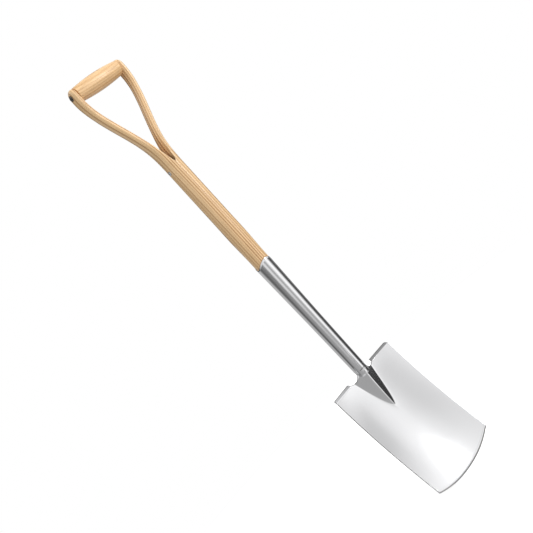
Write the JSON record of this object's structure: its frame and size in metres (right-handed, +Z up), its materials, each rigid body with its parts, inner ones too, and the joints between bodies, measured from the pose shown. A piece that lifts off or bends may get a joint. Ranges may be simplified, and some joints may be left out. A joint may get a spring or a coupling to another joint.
{
  "type": "garden spade",
  "caption": "Digging spade: dished stainless blade with a raised frog and folded treads, long tapered socket, and an ash shaft split into a wishbone handle with a cross grip.",
  "frame": {"origin": "on the ground under the spade: the middle of the spade's box in X and Y, at the level of the middle of the cutting edge, with the shaft upright", "axes": "+Z up along the shaft towards the grip, +X across the blade towards the spade's right as seen from its hollow front, +Y towards its back; the hollow front of the blade faces -Y"},
  "size_m": [0.1738, 0.0816, 1.0006],
  "materials": {
    "polished_steel": "polished stainless steel with faint lengthwise brushing",
    "fixing_steel": "plain steel rivets and screw",
    "dark_steel": "dark oiled steel washers",
    "weld_steel": "weld bead, straw and grey",
    "ash": "pale ash, straight grained, clear satin varnish",
    "ash_grip": "pale ash turned across the handle, clear satin varnish"
  },
  "bodies": {
    "root": {"blade": "polished_steel", "socket": "polished_steel", "socket_screw": "fixing_steel", "handle": "ash", "grip": "ash_grip", "grip_rod": "fixing_steel", "neck_rivet": "fixing_steel", "grip_washer_right": "dark_steel", "grip_washer_left": "dark_steel", "neck_washer_right": "fixing_steel", "neck_washer_left": "fixing_steel", "weld_right": "weld_steel", "weld_left": "weld_steel"}
  },
  "joints": []
}
